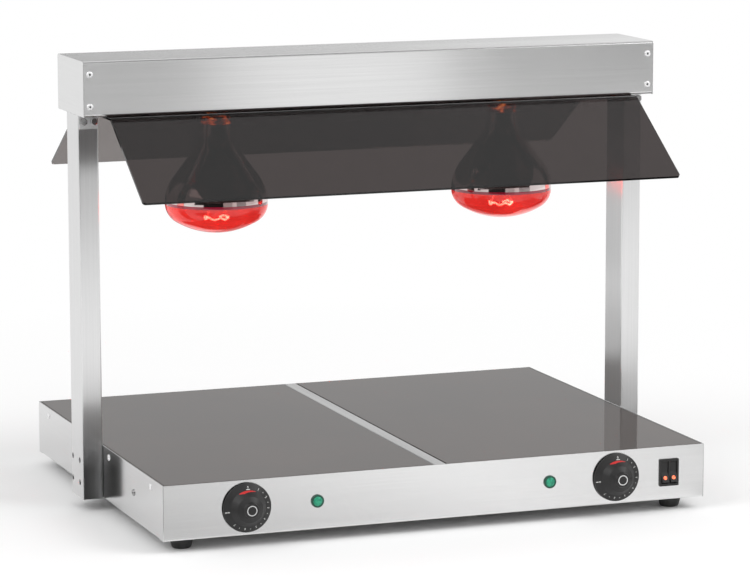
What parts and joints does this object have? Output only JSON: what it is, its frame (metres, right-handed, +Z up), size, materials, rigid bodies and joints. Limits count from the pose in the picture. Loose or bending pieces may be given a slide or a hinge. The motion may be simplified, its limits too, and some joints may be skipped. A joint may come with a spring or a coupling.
{
  "type": "food warming station with heat lamps",
  "caption": "Catering food warmer: a low steel base with heated glass plates, posts, and a header box with red infrared lamps between smoked guards.",
  "frame": {"origin": "on the floor under the middle of the base casing", "axes": "+X to the right along the header, +Y to the rear, +Z up; the knobs face -Y"},
  "size_m": [0.733, 0.5815, 0.546],
  "materials": {
    "brushed_steel": "brushed",
    "plain_steel": "mill",
    "fastener_steel": "zinc plated",
    "rivet_aluminium": "satin",
    "black_glass": "gloss",
    "smoked_acrylic": "gloss",
    "foot_rubber": "matte",
    "silicone": "matte",
    "heater_silicone": "matte",
    "mineral_wool": "matte",
    "copper": "satin",
    "black_plastic": "satin",
    "control_body": "matte",
    "pilot_bezel": "gloss",
    "green_lens": "gloss",
    "amber_lens": "gloss",
    "brass": "satin",
    "porcelain": "glazed",
    "red_lamp_glass": "gloss",
    "filament": "satin"
  },
  "bodies": {
    "base": {"backing_plates": "plain_steel", "bottom_plate": "plain_steel", "bracket_bolts": "fastener_steel", "brackets": "brushed_steel", "cable_gland": "black_plastic", "centre_rail": "plain_steel", "centre_strip": "brushed_steel", "earth_screw": "fastener_steel", "end_rails": "plain_steel", "feet": "foot_rubber", "foot_screws": "fastener_steel", "front_guard": "smoked_acrylic", "front_panel": "brushed_steel", "gland_locknut": "black_plastic", "glass_seals": "silicone", "guard_nuts": "fastener_steel", "guard_screws": "fastener_steel", "header_channel": "brushed_steel", "header_floor": "brushed_steel", "header_rivets": "rivet_aluminium", "heater_mats": "heater_silicone", "heater_pans": "plain_steel", "holder_straps": "plain_steel", "insulation_pads": "mineral_wool", "lamp_bulbs": "red_lamp_glass", "lamp_caps": "brass", "lamp_filaments": "filament", "lampholders": "porcelain", "left_glass_plate": "black_glass", "left_header_end_cap": "brushed_steel", "left_post": "brushed_steel", "left_side_panel": "brushed_steel", "m4_nuts": "fastener_steel", "pilot_bodies": "pilot_bezel", "pilot_lenses": "green_lens", "pilot_nuts": "fastener_steel", "post_screws": "fastener_steel", "rear_guard": "smoked_acrylic", "rear_panel": "brushed_steel", "right_glass_plate": "black_glass", "right_header_end_cap": "brushed_steel", "right_post": "brushed_steel", "right_side_panel": "brushed_steel", "sensors": "copper", "side_rails": "plain_steel", "side_rivets": "rivet_aluminium", "switch_blades": "brass", "switch_housing": "black_plastic", "terminal_block": "control_body", "thermostats": "control_body"},
    "left_knob": {"left_knob": "black_plastic", "left_spindle": "plain_steel"},
    "right_knob": {"right_knob": "black_plastic", "right_spindle": "plain_steel"},
    "left_rocker": {"left_rocker": "black_plastic", "left_rocker_lens": "amber_lens"},
    "right_rocker": {"right_rocker": "black_plastic", "right_rocker_lens": "amber_lens"}
  },
  "joints": [
    {"name": "left_knob_turn", "type": "hinge", "parent": "base", "child": "left_knob", "pos_m": [-0.24, -0.271, 0.048], "axis": [0, 1, 0], "range_deg": [0, 270]},
    {"name": "right_knob_turn", "type": "hinge", "parent": "base", "child": "right_knob", "pos_m": [0.224, -0.271, 0.048], "axis": [0, 1, 0], "range_deg": [0, 270]},
    {"name": "left_rocker_tilt", "type": "hinge", "parent": "base", "child": "left_rocker", "pos_m": [0.2935, -0.269, 0.0484], "axis": [1, 0, 0], "range_deg": [0, 20]},
    {"name": "right_rocker_tilt", "type": "hinge", "parent": "base", "child": "right_rocker", "pos_m": [0.2935, -0.269, 0.0484], "axis": [1, 0, 0], "range_deg": [0, 20]}
  ]
}
